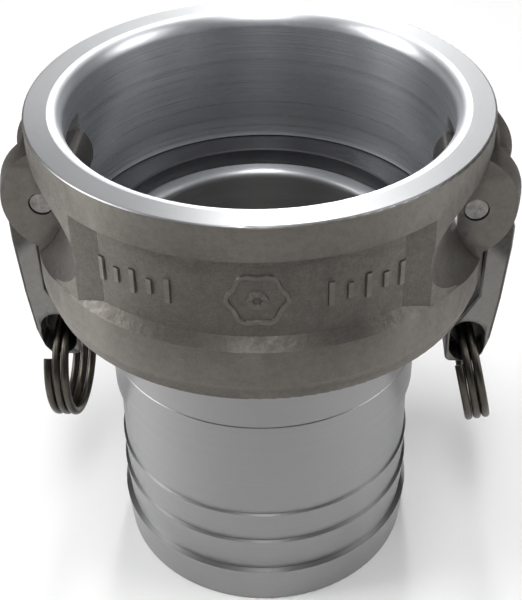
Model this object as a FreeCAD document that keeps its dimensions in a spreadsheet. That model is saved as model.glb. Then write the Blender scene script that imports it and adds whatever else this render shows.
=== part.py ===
import FreeCAD, Part
import Sketcher
import os

# Female cam-and-groove (camlock) coupling with a hose shank, 4 inch size.
# Millimetres, +Z up.  The origin is on the coupling's axis at the shank's open
# end; the two cam arms stand at +X and -X.

doc = FreeCAD.newDocument("camlock_coupling")
V = FreeCAD.Vector
X_AXIS = V(1, 0, 0)
Y_AXIS = V(0, 1, 0)
Z_AXIS = V(0, 0, 1)

# ---------------------------------------------------------------- dimensions
# One row for each driving dimension: alias, value, what it is.
DIMENSIONS = [
    ("total_height", 172.7, "shank end to rim face"),
    ("rim_radius", 71.8, "outside of the rim band"),
    ("bowl_radius", 60.3, "bowl bore, 4 inch cam and groove size"),
    ("lip_radius", 4.2, "rounding of the bowl mouth"),
    ("rim_round", 0.7, "rounding of the rim's outer edge"),
    ("groove_radius", 62.3, "undercut that holds the gasket"),
    ("groove_top", 125.3, "top of the gasket undercut"),
    ("seat_height", 118.55, "gasket seat"),
    ("through_radius", 44.9, "bore through the shank"),
    ("seat_round", 2.2, "rounding of the seat's inner edge"),
    ("flange_radius", 72.3, "heavy ring below the recesses"),
    ("flange_top", 131.1, "where the heavy ring starts"),
    ("flange_taper_top", 118.5, "where the heavy ring starts to taper"),
    ("flange_low_radius", 69.9, "heavy ring at its lower edge"),
    ("flange_bottom", 111.2, "underside of the heavy ring"),
    ("flange_round", 1.4, "rounding of the heavy ring's lower edge"),
    ("collar_radius", 52.5, "machined collar of the shank"),
    ("collar_root", 3.0, "rounding where the collar meets the ring"),
    ("collar_end", 68.0, "lower end of the collar"),
    ("shank_radius", 51.1, "plain part of the shank"),
    ("barb_a_height", 42.8, "upper barb's edge"),
    ("barb_a_radius", 51.9, "upper barb"),
    ("barb_b_height", 29.8, "middle barb's edge"),
    ("barb_b_radius", 52.2, "middle barb"),
    ("barb_c_height", 15.3, "lower barb's edge"),
    ("barb_c_radius", 53.0, "lower barb"),
    ("barb_step", 0.3, "height of each barb's sharp step"),
    ("collar_line", 83.8, "fine turned line on the collar"),
    ("shank_end_radius", 51.7, "shank at its open end"),
    ("end_round", 0.6, "rounding of the shank's open end"),
    ("recess_radius", 69.0, "floor of the front and back recesses"),
    ("recess_top", 160.0, "top of the recesses' floor"),
    ("recess_bottom", 134.3, "bottom of the recesses' floor"),
    ("recess_half_width", 43.0, "half width of the recesses' floor"),
    ("recess_edge_depth", 54.0, "distance of the recesses' side edge from the middle"),
    ("recess_side_slope", 0.467, "rise over run of the recesses' sloped sides"),
    ("ear_centre_radius", 62.4, "centre circle of the rounded ears"),
    ("ear_round", 19.1, "section radius of the rounded ears"),
    ("ear_height", 147.4, "middle of the ears"),
    ("ear_half_width", 22.0, "half the width over a pair of ears"),
    ("slot_half_width", 12.3, "half the width of the slot for the arm"),
    ("slot_bottom", 133.0, "bottom of the slot through the wall"),
    ("slot_top", 160.2, "top of the slot through the wall"),
    ("slot_corner", 3.0, "rounding of the slot's corners"),
    ("channel_plane", 71.2, "back of the open channel between the ears"),
    ("channel_top", 163.0, "top of the channel, under the rim's edge"),
    ("waist_round", 21.3, "radius of the hollow beside each ear"),
    ("waist_offset", 82.5, "axis of that hollow, across"),
    ("waist_height", 145.7, "axis of that hollow, height"),
    ("waist_angle", 18.2, "turn of that hollow's axis, degrees"),
    ("pin_offset", 66.2, "arm pin, distance from the coupling's axis"),
    ("pin_height", 146.7, "arm pin, height"),
    ("pin_radius", 3.9, "arm pin"),
    ("pin_end_radius", 3.5, "arm pin's dressed end"),
    ("pin_half_length", 21.5, "half the arm pin's length"),
    ("pin_end_length", 1.4, "length of the dressed end"),
    ("gasket_outer", 61.9, "gasket, outside"),
    ("gasket_inner", 50.8, "gasket, inside"),
    ("gasket_thick", 6.35, "gasket, thickness"),
    ("gasket_chamfer", 0.5, "gasket, edge"),
    ("arm_half_width", 11.9, "half the arm's width"),
    ("arm_bore", 3.97, "arm's hole for the pin"),
    ("cam_nose", 10.9, "cam nose, from the pin's axis"),
    ("cam_heel", 13.2, "back of the cam, from the pin's axis"),
    ("cam_flat", 5.6, "flat of the cam, from the pin's axis"),
    ("cam_flat_angle", 75.0, "direction of the flat, degrees"),
    ("shoulder_in_x", 75.6, "arm outline: under the cam's back, across"),
    ("shoulder_in_z", 139.4, "arm outline: under the cam's back, height"),
    ("shoulder_x", 80.5, "arm outline: shoulder, across"),
    ("shoulder_z", 134.2, "arm outline: shoulder, height"),
    ("strap_out_x", 80.4, "arm outline: outer face below the shoulder, across"),
    ("strap_out_z", 126.0, "arm outline: outer face below the shoulder, height"),
    ("strap_mid_x", 78.9, "arm outline: outer face halfway, across"),
    ("strap_mid_z", 105.4, "arm outline: outer face halfway, height"),
    ("strap_low_x", 77.0, "arm outline: outer face by the ring hole, across"),
    ("strap_low_z", 89.0, "arm outline: outer face by the ring hole, height"),
    ("heel_x", 75.0, "arm outline: lower outer corner, across"),
    ("heel_z", 81.9, "arm outline: lower outer corner, height"),
    ("sole_x", 72.5, "arm outline: outer end of the lower edge, across"),
    ("foot_bottom", 78.6, "arm outline: lower edge, height"),
    ("foot_x", 62.4, "arm outline: inner face of the foot, across"),
    ("foot_top", 91.5, "arm outline: top of the foot's inner face, height"),
    ("strap_back_x", 71.6, "arm outline: inner face of the strap, across"),
    ("strap_back_low", 106.8, "arm outline: lower end of that face, height"),
    ("strap_back_top", 133.8, "arm outline: upper end of that face, above the slot's bottom"),
    ("arm_edge_round", 1.1, "rounding of the arm's long edges"),
    ("arm_corner_round", 2.2, "rounding of the arm's corners"),
    ("hole_offset", 69.3, "ring hole, distance from the coupling's axis"),
    ("hole_height", 87.4, "ring hole, height"),
    ("hole_radius", 5.4, "ring hole"),
    ("web_half_width", 4.5, "half the arm's thickness at the ring hole"),
    ("pocket_half_width", 5.9, "half the width of the pocket beside the ring hole"),
    ("pocket_height", 90.4, "top of the straight part of that pocket"),
    ("pocket_floor", 85.3, "bottom of that straight part, where the round floor starts"),
    ("ring_radius", 19.0, "pull ring, to the middle of the wire"),
    ("wire_radius", 1.42, "pull ring's wire"),
    ("ring_pitch", 2.95, "distance from turn to turn"),
    ("ring_turns", 2.63, "turns in the pull ring"),
    ("right_ring_offset", 68.6, "where the right ring hangs, across"),
    ("right_ring_height", 87.7, "where the right ring hangs, height"),
    ("left_ring_offset", 69.3, "where the left ring hangs, across"),
    ("left_ring_height", 86.2, "where the left ring hangs, height"),
]

sheet = doc.addObject("Spreadsheet::Sheet", "Sheet")
for row, (alias, value, note) in enumerate(DIMENSIONS, start=1):
    sheet.set("A%d" % row, alias)
    sheet.set("B%d" % row, str(value))
    sheet.set("C%d" % row, note)
    sheet.setAlias("B%d" % row, alias)
doc.recompute()


def cell(text):
    """Writes $name as the sheet's cell in an expression."""
    return text.replace("$", "Sheet.")


def value_of(text):
    """The present value of an expression over the sheet's cells."""
    return float(sheet.evalExpression(text.replace("$", "")))


def bind(obj, **expressions):
    """Ties an object's properties to expressions over the sheet."""
    for prop, text in expressions.items():
        obj.setExpression(prop, cell(text))
    return obj


def place(obj, x="0", y="0", z="0", turn=None):
    """Turns an object and ties its position to the sheet."""
    obj.Placement = FreeCAD.Placement(V(0, 0, 0), turn or FreeCAD.Rotation())
    for direction, text in (("x", x), ("y", y), ("z", z)):
        obj.setExpression("Placement.Base." + direction, cell(text))
    return obj


def origin_plane(body, role):
    """One of a body's own origin planes."""
    for feature in body.Origin.OriginFeatures:
        if feature.Role == role:
            return feature
    raise RuntimeError("no plane " + role)


def new_sketch(name, owner=None, plane="XZ_Plane"):
    """A sketch on a body's origin plane, or a free one on the same plane."""
    if owner is not None:
        sketch = owner.newObject("Sketcher::SketchObject", name)
        sketch.AttachmentSupport = [(origin_plane(owner, plane), "")]
        sketch.MapMode = "FlatFace"
        return sketch
    sketch = doc.addObject("Sketcher::SketchObject", name)
    if plane == "XZ_Plane":
        sketch.Placement = FreeCAD.Placement(V(0, 0, 0), FreeCAD.Rotation(X_AXIS, 90))
    return sketch


def tie_point(sketch, geometry, end, x, y):
    """Ties one point of a sketch to two expressions over the sheet."""
    for kind, text in (("DistanceX", x), ("DistanceY", y)):
        constraint = Sketcher.Constraint(kind, -1, 1, geometry, end, value_of(text))
        index = sketch.addConstraint(constraint)
        sketch.setExpression("Constraints[%d]" % index, cell(text))


def polygon(sketch, corners):
    """A closed outline whose corners are all tied to the sheet."""
    points = [V(value_of(x), value_of(y), 0) for x, y in corners]
    first = sketch.GeometryCount
    count = len(points)
    for i in range(count):
        sketch.addGeometry(Part.LineSegment(points[i], points[(i + 1) % count]), False)
    for i in range(count):
        follower = first + (i + 1) % count
        sketch.addConstraint(Sketcher.Constraint("Coincident", first + i, 2, follower, 1))
    for i, (x, y) in enumerate(corners):
        tie_point(sketch, first + i, 1, x, y)
    return sketch


def circle(sketch, x, y, radius):
    """A circle whose centre and radius are tied to the sheet."""
    centre = V(value_of(x), value_of(y), 0)
    index = sketch.addGeometry(Part.Circle(centre, Z_AXIS, value_of(radius)), False)
    if x == "0" and y == "0":
        sketch.addConstraint(Sketcher.Constraint("Coincident", index, 3, -1, 1))
    else:
        tie_point(sketch, index, 3, x, y)
    size = sketch.addConstraint(Sketcher.Constraint("Radius", index, value_of(radius)))
    sketch.setExpression("Constraints[%d]" % size, cell(radius))
    return sketch


def turned(name, corners):
    """A solid of revolution about Z from an outline of (radius, height)."""
    obj = doc.addObject("Part::Revolution", name)
    obj.Source = polygon(new_sketch(name + "_outline"), corners)
    obj.Axis = Z_AXIS
    obj.Angle = 360
    obj.Solid = True
    return obj


def box(name, x0, x1, y0, y1, z0, z1):
    """A box between six expressions."""
    obj = doc.addObject("Part::Box", name)
    bind(obj, Length="(%s) - (%s)" % (x1, x0), Width="(%s) - (%s)" % (y1, y0),
         Height="(%s) - (%s)" % (z1, z0))
    return place(obj, x0, y0, z0)


def cylinder(name, radius, height, x="0", y="0", z="0", turn=None):
    obj = doc.addObject("Part::Cylinder", name)
    bind(obj, Radius=radius, Height=height)
    return place(obj, x, y, z, turn)


def fused(name, shapes):
    obj = doc.addObject("Part::MultiFuse", name)
    obj.Shapes = shapes
    return obj


def common(name, shapes):
    obj = doc.addObject("Part::MultiCommon", name)
    obj.Shapes = shapes
    return obj


def cut(name, base, tool):
    obj = doc.addObject("Part::Cut", name)
    obj.Base = base
    obj.Tool = tool
    return obj


def rounded(name, base, choices):
    """A copy of a solid with chosen edges rounded: pairs of picker and radius."""
    doc.recompute()
    edges = []
    for picker, radius in choices:
        size = value_of(radius)
        found = [i + 1 for i, edge in enumerate(base.Shape.Edges) if picker(edge)]
        if not found:
            raise RuntimeError("no edges to round for " + name)
        edges += [(index, size, size) for index in found]
    obj = doc.addObject("Part::Fillet", name)
    obj.Base = base
    obj.Edges = edges
    doc.recompute()
    return obj


def round_edges(body, name, radius, picker):
    """Rounds the edges of a body's present shape that the picker accepts."""
    doc.recompute()
    base = body.Tip
    names = ["Edge%d" % (i + 1) for i, edge in enumerate(base.Shape.Edges) if picker(edge)]
    if not names:
        raise RuntimeError("no edges to round for " + name)
    fillet = body.newObject("PartDesign::Fillet", name)
    fillet.Base = (base, names)
    bind(fillet, Radius=radius)
    body.Tip = fillet
    doc.recompute()
    print(name, len(names), "edges", "ok" if fillet.isValid() else "FAILED")
    return fillet


def is_ring(radius, height):
    """Accepts arcs and circles about Z with this radius at this height."""
    def picker(edge):
        if not isinstance(edge.Curve, Part.Circle):
            return False
        centre = edge.Curve.Center
        on_axis = abs(centre.x) < 0.01 and abs(centre.y) < 0.01
        same = abs(edge.Curve.Radius - value_of(radius)) < 0.02
        return on_axis and same and abs(centre.z - value_of(height)) < 0.02
    return picker


# ------------------------------------------------------------------- casting
FAR = "90"

blank = turned("blank", [
    ("0", "0"),
    ("$shank_end_radius", "0"),
    ("$barb_c_radius", "$barb_c_height"),
    ("$shank_radius", "$barb_c_height + $barb_step"),
    ("$barb_b_radius", "$barb_b_height"),
    ("$shank_radius", "$barb_b_height + $barb_step"),
    ("$barb_a_radius", "$barb_a_height"),
    ("$shank_radius", "$barb_a_height + $barb_step"),
    ("$shank_radius", "$collar_end - 1.2"),
    ("$shank_radius - 0.4", "$collar_end - 1"),
    ("$shank_radius - 0.4", "$collar_end"),
    ("$collar_radius", "$collar_end + 0.2"),
    ("$collar_radius", "$collar_line - 0.3"),
    ("$collar_radius - 0.25", "$collar_line"),
    ("$collar_radius", "$collar_line + 0.3"),
    ("$collar_radius", "$flange_bottom"),
    ("$flange_low_radius", "$flange_bottom"),
    ("$flange_radius", "$flange_taper_top"),
    ("$flange_radius", "$flange_top"),
    ("$rim_radius", "$flange_top + 0.5"),
    ("$rim_radius", "$total_height"),
    ("0", "$total_height"),
])

turned_blank = rounded("turned_blank", blank, [
    (is_ring("$rim_radius", "$total_height"), "$rim_round"),
    (is_ring("$flange_low_radius", "$flange_bottom"), "$flange_round"),
    (is_ring("$collar_radius", "$flange_bottom"), "$collar_root"),
    (is_ring("$shank_end_radius", "0"), "$end_round"),
])

ear_ring = place(doc.addObject("Part::Torus", "ear_ring"), z="$ear_height")
bind(ear_ring, Radius1="$ear_centre_radius", Radius2="$ear_round")
ear_limits = box("ear_limits", "-100", "100", "-$ear_half_width", "$ear_half_width",
                 "$ear_height - 30", "$ear_height + 30")
ears = common("ears", [ear_ring, ear_limits])
outside = fused("outside", [turned_blank, ears])

cavity = turned("cavity", [
    ("0", "-5"),
    ("$through_radius", "-5"),
    ("$through_radius", "$seat_height"),
    ("$groove_radius", "$seat_height"),
    ("$groove_radius", "$groove_top"),
    ("$bowl_radius", "$groove_top"),
    ("$bowl_radius", "$total_height + 5"),
    ("0", "$total_height + 5"),
])

turned_cavity = rounded("turned_cavity", cavity, [
    (is_ring("$through_radius", "$seat_height"), "$seat_round"),
])

# The recesses at the front and the back: a shallow band with a rising lower
# edge, between two sloped sides.
recess_band = turned("recess_band", [
    ("$recess_radius", "$recess_bottom"),
    ("$recess_radius + 12", "$recess_bottom - 12"),
    ("$recess_radius + 12", "$recess_top + 6.4"),
    ("$recess_radius", "$recess_top"),
])
edge_x = "$recess_half_width"
edge_y = "$recess_edge_depth"
out_x = "$recess_half_width + 20"
out_y = "$recess_edge_depth - 20 * $recess_side_slope"
plan = polygon(new_sketch("recess_plan", plane="XY_Plane"), [
    ("-(" + edge_x + ")", "-" + edge_y),
    ("-(" + out_x + ")", "-(" + out_y + ")"),
    ("-(" + out_x + ")", "-90"),
    (out_x, "-90"),
    (out_x, "-(" + out_y + ")"),
    (edge_x, "-" + edge_y),
    (edge_x, edge_y),
    (out_x, out_y),
    (out_x, "90"),
    ("-(" + out_x + ")", "90"),
    ("-(" + out_x + ")", out_y),
    ("-(" + edge_x + ")", edge_y),
])
recess_prism = doc.addObject("Part::Extrusion", "recess_prism")
recess_prism.Base = plan
recess_prism.DirMode = "Custom"
recess_prism.Dir = Z_AXIS
recess_prism.Solid = True
bind(recess_prism, LengthFwd="$total_height")
recesses = common("recesses", [recess_band, recess_prism])

# The hollows beside the ears, which leave the pads between ear and recess.
hollow_parts = []
for side_x in (1, -1):
    for side_y in (1, -1):
        tag = "%s%s" % ("r" if side_x > 0 else "l", "b" if side_y > 0 else "f")
        tilt = side_x * side_y * value_of("$waist_angle")
        turn = FreeCAD.Rotation(Z_AXIS, tilt).multiply(
            FreeCAD.Rotation(X_AXIS, -90 * side_y))
        hollow_parts.append(cylinder(
            "hollow_" + tag, "$waist_round", "70",
            "%d * ($waist_offset + 4)" % side_x, "%d * ($ear_half_width - 12.2)" % side_y,
            "$waist_height", turn))
hollow_limits = [
    box("hollow_front", "-" + FAR, FAR, "-" + FAR, "-$ear_half_width", "100", "$total_height"),
    box("hollow_back", "-" + FAR, FAR, "$ear_half_width", FAR, "100", "$total_height"),
]
hollows = common("hollows", [fused("hollow_bars", hollow_parts),
                             fused("hollow_sides", hollow_limits)])

# The slot for each cam through the wall, and the open channel for each arm,
# which also leaves a flat on the heavy ring.
slot_box = box("slot_box", "-" + FAR, FAR, "-$slot_half_width", "$slot_half_width",
               "$slot_bottom", "$slot_top")
channels = []
for side_x, tag in ((1, "right"), (-1, "left")):
    near = "$channel_plane" if side_x > 0 else "-" + FAR
    far = FAR if side_x > 0 else "-$channel_plane"
    channels.append(box("channel_" + tag, near, far, "-$slot_half_width",
                        "$slot_half_width", "$flange_bottom - 5", "$channel_top"))
pin_holes = []
for side_x, tag in ((1, "right"), (-1, "left")):
    pin_holes.append(cylinder("pin_hole_" + tag, "$pin_radius", "2 * $ear_half_width + 20",
                              "%d * $pin_offset" % side_x, "$ear_half_width + 10",
                              "$pin_height", FreeCAD.Rotation(X_AXIS, 90)))

openings = fused("casting_openings",
                 [turned_cavity, recesses, hollows, slot_box] + channels + pin_holes)
casting_raw = cut("casting_raw", outside, openings)
doc.recompute()

casting = doc.addObject("PartDesign::Body", "coupling_body")
casting.Label = "coupling_body"
casting.BaseFeature = casting_raw
doc.recompute()
round_edges(casting, "bowl_lip", "$lip_radius", is_ring("$bowl_radius", "$total_height"))

# -------------------------------------------------------------------- gasket
gasket = doc.addObject("PartDesign::Body", "gasket")
gasket.Label = "gasket"
low = "$seat_height"
high = "$seat_height + $gasket_thick"
edge = "$gasket_chamfer"
gasket_outline = polygon(new_sketch("gasket_outline", gasket), [
    ("$gasket_inner + " + edge, low),
    ("$gasket_outer - " + edge, low),
    ("$gasket_outer", low + " + " + edge),
    ("$gasket_outer", high + " - " + edge),
    ("$gasket_outer - " + edge, high),
    ("$gasket_inner + " + edge, high),
    ("$gasket_inner", high + " - " + edge),
    ("$gasket_inner", low + " + " + edge),
])
gasket_ring = gasket.newObject("PartDesign::Revolution", "gasket_ring")
gasket_ring.Profile = gasket_outline
gasket_ring.ReferenceAxis = (gasket_outline, ["V_Axis"])
gasket_ring.Angle = 360
gasket.Tip = gasket_ring
doc.recompute()

# -------------------------------------------------------------------- pins
def pivot_pin(label, side):
    """An arm's pin: a plain rod with a dressed end at each side."""
    offset = "%d * $pin_offset" % side
    turn = FreeCAD.Rotation(X_AXIS, 90)
    shaft = cylinder(label + "_shaft", "$pin_radius",
                     "2 * ($pin_half_length - $pin_end_length)",
                     offset, "$pin_half_length - $pin_end_length", "$pin_height", turn)
    core = cylinder(label + "_ends", "$pin_end_radius", "2 * $pin_half_length",
                    offset, "$pin_half_length", "$pin_height", turn)
    pin = fused(label, [shaft, core])
    pin.Label = label
    return pin


pins = [pivot_pin("pivot_pin_right", 1), pivot_pin("pivot_pin_left", -1)]


# -------------------------------------------------------------------- arms
def is_long(height_low, height_high):
    """Accepts straight edges along Y between two heights."""
    def picker(edge):
        ends = [vertex.Point for vertex in edge.Vertexes]
        if len(ends) != 2 or not isinstance(edge.Curve, Part.Line):
            return False
        along = abs(ends[0].x - ends[1].x) < 1e-6 and abs(ends[0].z - ends[1].z) < 1e-6
        return along and value_of(height_low) <= ends[0].z <= value_of(height_high)
    return picker


def is_outline(edge):
    """Accepts the edges around an arm's two flat sides, but not its holes'."""
    width = value_of("$arm_half_width")
    if any(abs(abs(vertex.Point.y) - width) > 1e-6 for vertex in edge.Vertexes):
        return False
    middle = edge.valueAt((edge.FirstParameter + edge.LastParameter) / 2)
    if abs(abs(middle.y) - width) > 1e-6:
        return False
    pin = V(value_of("$pin_offset"), middle.y, value_of("$pin_height"))
    return middle.distanceToPoint(pin) > value_of("$arm_bore") + 0.5


def cam_arm(label, side):
    """A cam with its strap; built at +X and turned round for the other side."""
    width = "2 * $arm_half_width"
    turn = FreeCAD.Rotation(X_AXIS, 90)
    nose = cylinder(label + "_nose", "$cam_nose", width, "$pin_offset",
                    "$arm_half_width", "$pin_height", turn)
    back = cylinder(label + "_back", "$cam_heel", width, "$pin_offset",
                    "$arm_half_width", "$pin_height", turn)
    back_limit = box(label + "_back_limit", "$strap_back_x - 0.2", "$pin_offset + 30",
                     "-$arm_half_width", "$arm_half_width", "$pin_height - 30",
                     "$pin_height + 30")
    strap = doc.addObject("Part::Extrusion", label + "_strap")
    strap.Base = polygon(new_sketch(label + "_outline"), [
        ("$pin_offset", "$pin_height"),
        ("$shoulder_in_x", "$shoulder_in_z"),
        ("$shoulder_x", "$shoulder_z"),
        ("$strap_out_x", "$strap_out_z"),
        ("$strap_mid_x", "$strap_mid_z"),
        ("$strap_low_x", "$strap_low_z"),
        ("$heel_x", "$heel_z"),
        ("$sole_x", "$foot_bottom"),
        ("$foot_x", "$foot_bottom"),
        ("$foot_x", "$foot_top"),
        ("$strap_back_x", "$strap_back_low"),
        ("$strap_back_x", "$strap_back_top"),
        ("$pin_offset - 3", "$pin_height - 10.3"),
    ])
    strap.DirMode = "Custom"
    strap.Dir = Y_AXIS
    strap.Solid = True
    bind(strap, LengthFwd="$arm_half_width", LengthRev="$arm_half_width")
    solid = fused(label + "_solid", [nose, common(label + "_back_part", [back, back_limit]),
                                     strap])

    flat = box(label + "_flat", "0", "40", "0", "40", "0", "30")
    lean = FreeCAD.Rotation(Y_AXIS, -(value_of("$cam_flat_angle") - 90))
    place(flat, "$pin_offset", "0", "$pin_height", lean)
    corner = lean.multVec(V(-20, -20, value_of("$cam_flat")))
    for direction, text, shift in (("x", "$pin_offset", corner.x), ("y", "0", corner.y),
                                   ("z", "$pin_height", corner.z)):
        flat.setExpression("Placement.Base." + direction, cell("%s + %.6f" % (text, shift)))

    pin_bore = cylinder(label + "_bore", "$arm_bore", "60", "$pin_offset", "30",
                        "$pin_height", turn)
    ring_hole = cylinder(label + "_ring_hole", "$hole_radius", "60", "$hole_offset", "30",
                         "$hole_height", turn)
    pockets = []
    for tag, y0, y1 in (("front", "-30", "-$web_half_width"), ("back", "$web_half_width", "30")):
        pockets.append(box(label + "_pocket_" + tag, "$hole_offset - $pocket_half_width",
                           "$hole_offset + $pocket_half_width", y0, y1, "$pocket_floor",
                           "$pocket_height"))
        for end, height in (("top", "$pocket_height"), ("floor", "$pocket_floor")):
            pockets.append(cylinder("%s_pocket_%s_%s" % (label, end, tag),
                                    "$pocket_half_width", "30 - $web_half_width",
                                    "$hole_offset", y1, height, turn))
    trimmed = cut(label + "_cut", solid, fused(label + "_tools", [flat, pin_bore]))
    doc.recompute()

    body = doc.addObject("PartDesign::Body", label + "_body")
    body.BaseFeature = trimmed
    doc.recompute()
    round_edges(body, label + "_foot_corners", "$arm_corner_round",
                is_long("$foot_bottom - 1", "$strap_low_z + 1"))
    round_edges(body, label + "_shoulder", "$arm_corner_round",
                is_long("$strap_out_z + 1", "$shoulder_in_z + 0.5"))
    round_edges(body, label + "_edges", "$arm_edge_round", is_outline)

    finished = cut(label + "_assembled", body, fused(label + "_openings", [ring_hole] + pockets))
    finished.Label = label
    if side < 0:
        finished.Placement = FreeCAD.Placement(V(0, 0, 0), FreeCAD.Rotation(Z_AXIS, 180))
    doc.recompute()
    return finished


arms = [cam_arm("cam_arm_right", 1), cam_arm("cam_arm_left", -1)]


# --------------------------------------------------------------- pull rings
def pull_ring(label, offset, height, start, twist, lean):
    """A coiled ring through an arm's hole.

    The coil's first end lies "start" degrees round from the top.  The ring is
    then turned about the vertical by "twist" and swung about Y by "lean".
    """
    body = doc.addObject("PartDesign::Body", label)
    body.Label = label
    wire = circle(new_sketch(label + "_wire", body), "$ring_radius", "0", "$wire_radius")
    doc.recompute()
    coil = body.newObject("PartDesign::AdditiveHelix", label + "_coil")
    coil.Profile = wire
    coil.ReferenceAxis = (wire, ["V_Axis"])
    coil.Mode = 1
    bind(coil, Pitch="$ring_pitch", Turns="$ring_turns")
    body.Tip = coil
    doc.recompute()

    first = FreeCAD.Rotation(X_AXIS, start).multVec(Z_AXIS)
    second = FreeCAD.Rotation(X_AXIS, start + 90).multVec(Z_AXIS)
    upright = FreeCAD.Rotation(first, second, X_AXIS, "XYZ")
    swing = FreeCAD.Rotation(Y_AXIS, lean).multiply(FreeCAD.Rotation(Z_AXIS, twist))
    middle = value_of("$ring_pitch * $ring_turns / 2")
    shift = swing.multVec(V(-middle, 0, -value_of("$ring_radius")))
    top = V(value_of(offset), 0, value_of(height))
    body.Placement = FreeCAD.Placement(top + shift, swing.multiply(upright))
    return body


rings = [
    pull_ring("pull_ring_right", "$right_ring_offset", "$right_ring_height", -308, 3, -11.5),
    pull_ring("pull_ring_left", "-$left_ring_offset", "$left_ring_height", -308, -2, 0),
]
doc.recompute()

# ------------------------------------------------------------------- output
parts = [casting, gasket] + pins + arms + rings
for obj in doc.Objects:
    if "Invalid" in obj.State or "Error" in obj.State:
        raise RuntimeError("%s failed: %s" % (obj.Name, obj.State))
for part in parts:
    shape = part.Shape
    if shape.isNull() or not shape.isValid() or len(shape.Solids) != 1:
        raise RuntimeError("%s is not one sound solid" % part.Label)
    span = shape.optimalBoundingBox(False)
    print("%-18s volume %8.0f  x %7.2f %7.2f  y %7.2f %7.2f  z %7.2f %7.2f" % (
        part.Label, shape.Volume, span.XMin, span.XMax, span.YMin, span.YMax,
        span.ZMin, span.ZMax))
os.makedirs("parts", exist_ok=True)
for part in parts:
    part.Shape.exportStep("parts/%s.step" % part.Label)
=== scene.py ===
import math

import bpy
from mathutils import Matrix, Vector


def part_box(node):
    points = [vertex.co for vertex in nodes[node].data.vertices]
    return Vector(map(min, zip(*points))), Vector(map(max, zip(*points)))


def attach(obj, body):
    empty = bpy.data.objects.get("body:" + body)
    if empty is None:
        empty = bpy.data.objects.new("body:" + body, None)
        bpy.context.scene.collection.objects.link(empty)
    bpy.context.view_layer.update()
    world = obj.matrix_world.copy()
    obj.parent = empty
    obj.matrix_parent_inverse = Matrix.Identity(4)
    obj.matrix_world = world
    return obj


# Looks for the camlock coupling: materials for every CAD node, plain raised
# casting marks, the floor, the lights and the camera.  Metres, +Z up.

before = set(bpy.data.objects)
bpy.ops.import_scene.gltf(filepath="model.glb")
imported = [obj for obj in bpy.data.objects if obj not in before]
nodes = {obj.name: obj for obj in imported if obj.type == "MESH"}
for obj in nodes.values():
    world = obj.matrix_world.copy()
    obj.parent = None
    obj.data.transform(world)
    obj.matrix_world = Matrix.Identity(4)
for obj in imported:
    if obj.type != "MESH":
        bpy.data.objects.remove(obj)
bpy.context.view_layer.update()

MM = 0.001
RIM_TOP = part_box("coupling_body")[1].z
BOWL_RADIUS = 60.3 * MM
COLLAR_RADIUS = 52.5 * MM
BORE_RADIUS = 45.2 * MM
RECESS_RADIUS = 69.0 * MM
SEAT_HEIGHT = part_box("gasket")[0].z
RING_UNDERSIDE = 111.2 * MM
EMBLEM_ACROSS = 2.4 * MM
EMBLEM_HEIGHT = 147.0 * MM
MARK_RISE = 0.60 * MM
MARK_SINK = 0.15 * MM
MARK_DRAFT = 0.30 * MM
EMBLEM_LOOPS = ((8.0 * MM, 0.55 * MM), (2.2 * MM, 0.70 * MM))
EMBLEM_POINTS = 48
EMBLEM_WAVES = 6
EMBLEM_WAVE_DEPTH = 0.07
BARS_PER_SIDE = 5
FIRST_BAR = 23.0 * MM
BAR_SPACING = 5.6 * MM
LONG_BAR = 8.0 * MM
SHORT_BAR = 5.0 * MM
BAR_HALF_WIDTH = 0.75 * MM
BAR_STEPS = 6


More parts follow.
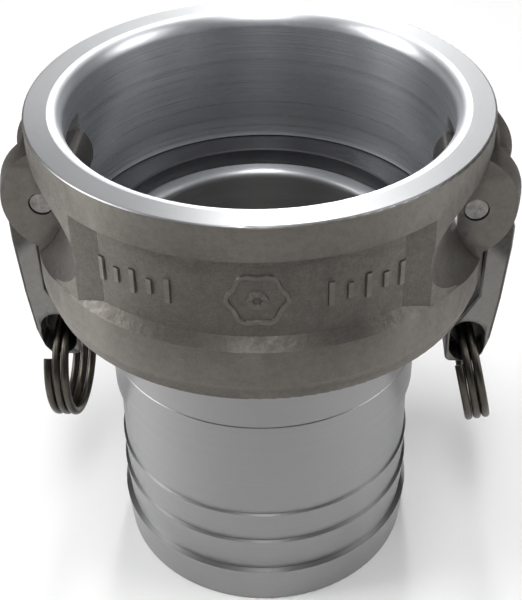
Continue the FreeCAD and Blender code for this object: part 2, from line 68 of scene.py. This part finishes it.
# ------------------------------------------------------------ node helpers
class Graph:
    """A material's node tree, with short calls to add and join nodes."""

    def __init__(self, name):
        self.material = bpy.data.materials.new(name)
        self.material.use_nodes = True
        self.tree = self.material.node_tree
        self.tree.nodes.clear()
        self.shader = self.tree.nodes.new("ShaderNodeBsdfPrincipled")
        output = self.tree.nodes.new("ShaderNodeOutputMaterial")
        self.join(self.shader.outputs[0], output.inputs["Surface"])
        self.place = self.tree.nodes.new("ShaderNodeTexCoord").outputs["Object"]

    def join(self, source, target):
        self.tree.links.new(source, target)

    def feed(self, target, value):
        """Sets a socket, or links it when the value is a socket."""
        if isinstance(value, bpy.types.NodeSocket):
            self.join(value, target)
        else:
            target.default_value = value

    def math(self, operation, a, b=0.0, clamp=False):
        node = self.tree.nodes.new("ShaderNodeMath")
        node.operation = operation
        node.use_clamp = clamp
        self.feed(node.inputs[0], a)
        self.feed(node.inputs[1], b)
        return node.outputs[0]

    def axes(self):
        node = self.tree.nodes.new("ShaderNodeSeparateXYZ")
        self.join(self.place, node.inputs[0])
        return node.outputs

    def radius(self, axes):
        """Distance from the coupling's axis."""
        x_squared = self.math("MULTIPLY", axes[0], axes[0])
        y_squared = self.math("MULTIPLY", axes[1], axes[1])
        return self.math("SQRT", self.math("ADD", x_squared, y_squared))

    def step(self, value, low, high):
        """0 below low, 1 above high, smooth between."""
        node = self.tree.nodes.new("ShaderNodeMapRange")
        node.interpolation_type = "SMOOTHSTEP"
        self.feed(node.inputs["Value"], value)
        node.inputs["From Min"].default_value = low
        node.inputs["From Max"].default_value = high
        return node.outputs["Result"]

    def noise(self, scale, detail=4.0, roughness=0.55, vector=None, distortion=0.0):
        node = self.tree.nodes.new("ShaderNodeTexNoise")
        node.inputs["Scale"].default_value = scale
        node.inputs["Detail"].default_value = detail
        node.inputs["Roughness"].default_value = roughness
        node.inputs["Distortion"].default_value = distortion
        self.join(vector or self.place, node.inputs["Vector"])
        return node.outputs["Fac"]

    def lines(self, value, scale, detail=3.0):
        """Noise that runs along one value only, such as turned lines."""
        node = self.tree.nodes.new("ShaderNodeTexNoise")
        node.noise_dimensions = "1D"
        node.inputs["Scale"].default_value = scale
        node.inputs["Detail"].default_value = detail
        node.inputs["Roughness"].default_value = 0.7
        self.feed(node.inputs["W"], value)
        return node.outputs["Fac"]

    def pits(self, scale):
        node = self.tree.nodes.new("ShaderNodeTexVoronoi")
        node.inputs["Scale"].default_value = scale
        self.join(self.place, node.inputs["Vector"])
        return node.outputs["Distance"]

    def spread(self, value, low, high):
        """A noise value of about 0.3 to 0.7 stretched between two numbers."""
        node = self.tree.nodes.new("ShaderNodeMapRange")
        self.feed(node.inputs["Value"], value)
        node.inputs["From Min"].default_value = 0.3
        node.inputs["From Max"].default_value = 0.7
        node.inputs["To Min"].default_value = low
        node.inputs["To Max"].default_value = high
        return node.outputs["Result"]

    def mix(self, factor, a, b):
        node = self.tree.nodes.new("ShaderNodeMix")
        self.feed(node.inputs[0], factor)
        self.feed(node.inputs[2], a)
        self.feed(node.inputs[3], b)
        return node.outputs[0]

    def mix_colour(self, factor, a, b):
        node = self.tree.nodes.new("ShaderNodeMix")
        node.data_type = "RGBA"
        self.feed(node.inputs[0], factor)
        self.feed(node.inputs[6], a if not isinstance(a, tuple) else (*a, 1.0))
        self.feed(node.inputs[7], b if not isinstance(b, tuple) else (*b, 1.0))
        return node.outputs[2]

    def bump(self, height, distance, strength=1.0, normal=None):
        node = self.tree.nodes.new("ShaderNodeBump")
        node.inputs["Distance"].default_value = distance
        node.inputs["Strength"].default_value = strength
        self.join(height, node.inputs["Height"])
        if normal is not None:
            self.join(normal, node.inputs["Normal"])
        return node.outputs[0]

    def set(self, **values):
        names = {"colour": "Base Color", "metal": "Metallic", "rough": "Roughness",
                 "aniso": "Anisotropic", "turn": "Anisotropic Rotation",
                 "normal": "Normal", "tangent": "Tangent", "specular": "Specular IOR Level"}
        for key, value in values.items():
            if isinstance(value, tuple):
                value = (*value, 1.0)
            self.feed(self.shader.inputs[names[key]], value)
        return self.material


def wear(g, size):
    """How far a surface point stands out as an edge, from 0 to 1."""
    geometry = g.tree.nodes.new("ShaderNodeNewGeometry")
    return g.step(geometry.outputs["Pointiness"], 0.5 + size, 0.5 + 3.5 * size)


# --------------------------------------------------------------- materials
CAST_DARK = (0.102, 0.094, 0.084)
CAST_LIGHT = (0.232, 0.218, 0.197)
CAST_GRIME = (0.055, 0.050, 0.044)
TURNED = (0.470, 0.475, 0.485)
TURNED_LINE = (0.310, 0.313, 0.322)
BOWL_TONE = (0.800, 0.815, 0.850)
# Painted shade: a darker turned colour for the inside of the bore.
BORE_PAINTED_SHADE = (0.190, 0.188, 0.184)
SHANK_TONE = (0.345, 0.345, 0.350)
SHANK_LINE = (0.235, 0.235, 0.238)


def body_material():
    """Sand-cast aluminium outside; turned rim, bowl, seat and shank."""
    g = Graph("cast_aluminium")
    axes = g.axes()
    height = axes[2]
    radius = g.radius(axes)

    outside = g.step(radius, BOWL_RADIUS + 3.9 * MM, BOWL_RADIUS + 4.5 * MM)
    inside = g.math("SUBTRACT", 1.0, outside)
    above_seat = g.step(height, SEAT_HEIGHT - 12 * MM, SEAT_HEIGHT - 10 * MM)
    bowl = g.math("MULTIPLY", inside, above_seat)
    rim = g.step(height, RIM_TOP - 0.5 * MM, RIM_TOP - 0.2 * MM)
    low = g.math("SUBTRACT", 1.0, g.step(height, RING_UNDERSIDE - 0.4 * MM, RING_UNDERSIDE))
    beyond_collar = g.step(radius, COLLAR_RADIUS + 1.4 * MM, COLLAR_RADIUS + 2.2 * MM)
    near = g.math("SUBTRACT", 1.0, beyond_collar)
    shank = g.math("MULTIPLY", low, near)
    machined = g.math("MAXIMUM", g.math("MAXIMUM", bowl, rim), shank)

    patches = g.noise(26.0, 5.0, 0.6)
    grain = g.noise(1500.0, 3.0, 0.6)
    sand = g.noise(420.0, 4.0, 0.65)
    pits = g.pits(330.0)
    cast_tone = g.mix_colour(g.spread(patches, 0.35, 0.85), CAST_DARK, CAST_LIGHT)
    cast_tone = g.mix_colour(g.spread(grain, 0.0, 0.34), cast_tone, CAST_GRIME)
    cast_tone = g.mix_colour(g.math("MULTIPLY", wear(g, 0.012), 0.55), cast_tone, CAST_LIGHT)

    along = g.math("ADD", height, radius)
    fine = g.lines(along, 5200.0)
    coarse = g.lines(along, 420.0, 2.0)
    blotch = g.noise(38.0, 3.0)
    turned_tone = g.mix_colour(g.spread(fine, 0.0, 0.42), TURNED, TURNED_LINE)
    turned_tone = g.mix_colour(g.spread(blotch, 0.0, 0.16), turned_tone, TURNED_LINE)
    turned_tone = g.mix_colour(g.math("MULTIPLY", bowl, 0.85), turned_tone, BOWL_TONE)
    shank_tone = g.mix_colour(g.spread(fine, 0.0, 0.5), SHANK_TONE, SHANK_LINE)
    turned_tone = g.mix_colour(shank, turned_tone, shank_tone)
    # Inside the bore the turned colour is painted darker, as painted shade down the tube.
    beyond_bore = g.step(radius, BORE_RADIUS - 0.3 * MM, BORE_RADIUS + 1.2 * MM)
    narrow = g.math("SUBTRACT", 1.0, beyond_bore)
    turned_tone = g.mix_colour(narrow, turned_tone, BORE_PAINTED_SHADE)

    colour = g.mix_colour(machined, cast_tone, turned_tone)
    cast_rough = g.spread(sand, 0.50, 0.68)
    turned_rough = g.math("ADD", g.spread(fine, 0.24, 0.34), g.spread(coarse, -0.02, 0.03))
    # The shank, the bore, the rim's lip and the seat are rougher than the bowl.
    turned_rough = g.math("ADD", turned_rough, g.math("MULTIPLY", shank, 0.12))
    turned_rough = g.math("ADD", turned_rough, g.math("MULTIPLY", narrow, 0.20))
    top_faces = g.step(height, RIM_TOP - 5.0 * MM, RIM_TOP - 3.5 * MM)
    turned_rough = g.math("ADD", turned_rough, g.math("MULTIPLY", top_faces, 0.13))
    seat_faces = g.math("SUBTRACT", 1.0, g.step(height, SEAT_HEIGHT + 7 * MM, SEAT_HEIGHT + 9 * MM))
    seat_faces = g.math("MULTIPLY", seat_faces, bowl)
    turned_rough = g.math("ADD", turned_rough, g.math("MULTIPLY", seat_faces, 0.14))
    rough = g.mix(machined, cast_rough, turned_rough)

    sand_height = g.math("ADD", g.math("MULTIPLY", sand, 0.55), g.math("MULTIPLY", grain, 0.25))
    sand_height = g.math("ADD", sand_height, g.math("MULTIPLY", pits, 0.35))
    cast_normal = g.bump(sand_height, 0.22 * MM, 0.75)
    line_height = g.math("ADD", g.math("MULTIPLY", fine, 0.7), g.math("MULTIPLY", coarse, 0.6))
    turned_normal = g.bump(line_height, 0.010 * MM, 0.5)
    normal = g.tree.nodes.new("ShaderNodeMix")
    normal.data_type = "VECTOR"
    g.feed(normal.inputs[0], machined)
    g.join(cast_normal, normal.inputs[4])
    g.join(turned_normal, normal.inputs[5])

    tangent = g.tree.nodes.new("ShaderNodeTangent")
    tangent.direction_type = "RADIAL"
    tangent.axis = "Z"
    return g.set(colour=colour, metal=0.92, rough=rough, aniso=0.70, turn=0.25,
                 normal=normal.outputs[1], tangent=tangent.outputs[0])


def rubber_material():
    """Black nitrile with a faint moulded texture and dusty patches."""
    g = Graph("nitrile_rubber")
    dust = g.noise(90.0, 5.0, 0.6)
    skin = g.noise(900.0, 3.0)
    colour = g.mix_colour(g.spread(dust, 0.0, 0.7), (0.022, 0.022, 0.026), (0.040, 0.040, 0.045))
    rough = g.spread(skin, 0.42, 0.56)
    normal = g.bump(skin, 0.05 * MM, 0.35)
    return g.set(colour=colour, rough=rough, normal=normal, specular=0.45)


def arm_material():
    """Cast stainless steel with dark scale and paler rubbed edges."""
    g = Graph("cast_stainless")
    sand = g.noise(700.0, 4.0, 0.65)
    scale = g.noise(60.0, 5.0, 0.6)
    colour = g.mix_colour(g.spread(scale, 0.1, 0.9), (0.070, 0.066, 0.061), (0.122, 0.116, 0.108))
    colour = g.mix_colour(g.spread(sand, 0.0, 0.25), colour, (0.036, 0.033, 0.030))
    colour = g.mix_colour(g.math("MULTIPLY", wear(g, 0.010), 0.7), colour, (0.300, 0.290, 0.275))
    normal = g.bump(sand, 0.14 * MM, 0.6)
    return g.set(colour=colour, metal=0.90, rough=g.spread(sand, 0.46, 0.62), normal=normal)


def pin_material():
    """Cold-drawn steel pin with dressed, scuffed ends."""
    g = Graph("pin_steel")
    axes = g.axes()
    drawn = g.lines(axes[2], 3200.0)
    scuff = g.noise(520.0, 4.0, 0.7)
    colour = g.mix_colour(g.spread(scuff, 0.0, 1.0), (0.300, 0.293, 0.280), (0.165, 0.158, 0.148))
    normal = g.bump(g.math("ADD", scuff, drawn), 0.08 * MM, 0.6)
    return g.set(colour=colour, metal=0.95, rough=g.spread(scuff, 0.34, 0.52), normal=normal)


def wire_material():
    """Drawn spring wire, browned and stained, with fine die lines."""
    g = Graph("ring_wire")
    stain = g.noise(130.0, 5.0, 0.65)
    fine = g.noise(1700.0, 3.0, 0.6)
    colour = g.mix_colour(g.spread(stain, 0.0, 1.0), (0.108, 0.097, 0.080), (0.052, 0.047, 0.040))
    normal = g.bump(fine, 0.05 * MM, 0.5)
    return g.set(colour=colour, metal=0.95, rough=g.spread(fine, 0.30, 0.46), normal=normal)


BODY_LOOK = body_material()
looks = {"coupling_body": BODY_LOOK, "gasket": rubber_material()}
PIN_LOOK = pin_material()
ARM_LOOK = arm_material()
WIRE_LOOK = wire_material()
for side in ("right", "left"):
    looks["pivot_pin_" + side] = PIN_LOOK
    looks["cam_arm_" + side] = ARM_LOOK
    looks["pull_ring_" + side] = WIRE_LOOK

for name, look in looks.items():
    mesh = nodes[name].data
    mesh.materials.clear()
    mesh.materials.append(look)


# ----------------------------------------------------------- casting marks
def raised_line(mesh_data, points, half_width, closed):
    """Adds a raised line with sloped sides on the recess floor.

    The points are (distance across, height); the line is bent round the
    casting at RECESS_RADIUS.
    """
    vertices, faces = mesh_data
    first = len(vertices)
    count = len(points)
    profile = ((-half_width - MARK_DRAFT, -MARK_SINK), (-half_width, MARK_RISE),
               (half_width, MARK_RISE), (half_width + MARK_DRAFT, -MARK_SINK))
    for i, (across, height) in enumerate(points):
        before = points[i - 1] if closed or i > 0 else points[i]
        after = points[(i + 1) % count] if closed or i < count - 1 else points[i]
        run = math.hypot(after[0] - before[0], after[1] - before[1])
        normal = ((before[1] - after[1]) / run, (after[0] - before[0]) / run)
        for offset, rise in profile:
            angle = (across + offset * normal[0]) / RECESS_RADIUS
            radius = RECESS_RADIUS + rise
            vertices.append((radius * math.sin(angle), -radius * math.cos(angle),
                             height + offset * normal[1]))
    for i in range(count if closed else count - 1):
        here = first + 4 * i
        there = first + 4 * ((i + 1) % count)
        for k in range(3):
            faces.append((here + k, there + k, there + k + 1, here + k + 1))
    if not closed:
        last = first + 4 * (count - 1)
        faces.append((first, first + 1, first + 2, first + 3))
        faces.append((last + 3, last + 2, last + 1, last))


def casting_marks():
    """Plain raised shapes where a foundry's marks would stand."""
    mesh_data = ([], [])
    for radius, half_width in EMBLEM_LOOPS:
        loop = []
        for i in range(EMBLEM_POINTS):
            turn = math.tau * i / EMBLEM_POINTS
            reach = radius * (1.0 + EMBLEM_WAVE_DEPTH * math.cos(EMBLEM_WAVES * turn))
            loop.append((EMBLEM_ACROSS + reach * math.cos(turn),
                         EMBLEM_HEIGHT + reach * math.sin(turn)))
        raised_line(mesh_data, loop, half_width, True)
    for side in (-1, 1):
        for i in range(BARS_PER_SIDE):
            across = side * (FIRST_BAR + BAR_SPACING * i)
            tall = LONG_BAR if i % 2 == 0 else SHORT_BAR
            points = [(across, EMBLEM_HEIGHT + tall * (j / BAR_STEPS - 0.5))
                      for j in range(BAR_STEPS + 1)]
            raised_line(mesh_data, points, BAR_HALF_WIDTH, False)
    mesh = bpy.data.meshes.new("casting_marks")
    mesh.from_pydata(mesh_data[0], [], mesh_data[1])
    mesh.validate()
    mesh.materials.append(BODY_LOOK)
    marks = bpy.data.objects.new("casting_marks", mesh)
    bpy.context.scene.collection.objects.link(marks)
    rounding = marks.modifiers.new("soft_edges", "BEVEL")
    rounding.width = 0.18 * MM
    rounding.segments = 2
    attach(marks, "coupling")


casting_marks()


# ------------------------------------------------------------------- stage
def pale_floor():
    """A wide pale floor just under the shank's open end."""
    mesh = bpy.data.meshes.new("floor")
    half = 6.0
    corners = [(-half, -half, 0), (half, -half, 0), (half, half, 0), (-half, half, 0)]
    mesh.from_pydata(corners, [], [(0, 1, 2, 3)])
    floor = bpy.data.objects.new("floor", mesh)
    bpy.context.scene.collection.objects.link(floor)
    floor.location.z = -0.05 * MM
    g = Graph("floor_paper")
    fibre = g.noise(7.0, 3.0)
    colour = g.mix_colour(g.spread(fibre, 0.0, 0.3), (0.93, 0.93, 0.93), (0.91, 0.91, 0.91))
    mesh.materials.append(g.set(colour=colour, rough=0.9, specular=0.1))


def soft_box(name, place, aim, width, height, power):
    """A rectangular studio light that faces a point."""
    data = bpy.data.lights.new(name, "AREA")
    data.shape = "RECTANGLE"
    data.size = width
    data.size_y = height
    data.energy = power
    light = bpy.data.objects.new(name, data)
    bpy.context.scene.collection.objects.link(light)
    light.location = place
    direction = Vector(aim) - Vector(place)
    light.rotation_euler = direction.to_track_quat("-Z", "Y").to_euler()
    return light


pale_floor()
MIDDLE = (0.0, 0.0, 0.11)
soft_box("light_left", (-0.95, -0.10, 0.60), MIDDLE, 0.50, 0.90, 9.6)
soft_box("light_right", (0.95, -0.10, 0.60), MIDDLE, 0.50, 0.90, 5.0)
soft_box("strip_back", (0.0, 1.00, 0.95), MIDDLE, 0.16, 1.60, 8.5)
soft_box("strip_above", (0.0, -0.40, 1.25), MIDDLE, 0.14, 0.90, 7.5)


def studio_world():
    """Soft surroundings: brighter above, darker in front."""
    world = bpy.data.worlds.new("studio")
    world.use_nodes = True
    tree = world.node_tree
    direction = tree.nodes.new("ShaderNodeTexCoord").outputs["Generated"]
    axes = tree.nodes.new("ShaderNodeSeparateXYZ")
    tree.links.new(direction, axes.inputs[0])
    total = tree.nodes.new("ShaderNodeMath")
    total.operation = "ADD"
    for slot, axis, low, high, dark, light in ((0, 1, -0.7, 0.2, 0.30, 0.58),
                                               (1, 2, 0.35, 0.95, 0.0, 0.42)):
        ramp = tree.nodes.new("ShaderNodeMapRange")
        ramp.interpolation_type = "SMOOTHSTEP"
        tree.links.new(axes.outputs[axis], ramp.inputs["Value"])
        ramp.inputs["From Min"].default_value = low
        ramp.inputs["From Max"].default_value = high
        ramp.inputs["To Min"].default_value = dark
        ramp.inputs["To Max"].default_value = light
        tree.links.new(ramp.outputs["Result"], total.inputs[slot])
    tree.links.new(total.outputs[0], tree.nodes["Background"].inputs["Strength"])
    bpy.context.scene.world = world


studio_world()
bpy.context.scene.view_settings.view_transform = "Standard"


# ------------------------------------------------------------------ camera
def make_camera():
    """Looks down at the front, a little from the right."""
    down = math.radians(37.23)
    yaw = math.radians(-0.08)
    roll = math.radians(-0.96)
    turn = Matrix.Rotation(math.radians(3.2), 3, "Z")
    ahead = Vector((0, math.cos(down), -math.sin(down)))
    right = Vector((1, 0, 0))
    up = Vector((0, math.sin(down), math.cos(down)))
    forward = math.cos(yaw) * ahead + math.sin(yaw) * right
    side = math.cos(yaw) * right - math.sin(yaw) * ahead
    rolled_side = math.cos(roll) * side + math.sin(roll) * up
    rolled_up = math.cos(roll) * up - math.sin(roll) * side
    columns = [turn @ rolled_side, turn @ rolled_up, turn @ -forward]
    place = Vector((0.0185, -0.3304, 0.3461))

    data = bpy.data.cameras.new("camera")
    data.lens = 72.52
    data.sensor_width = 36.0
    data.sensor_fit = "AUTO"
    data.clip_start = 0.01
    camera = bpy.data.objects.new("camera", data)
    bpy.context.scene.collection.objects.link(camera)
    camera.matrix_world = Matrix.Translation(place) @ Matrix(columns).transposed().to_4x4()
    bpy.context.scene.camera = camera


make_camera()
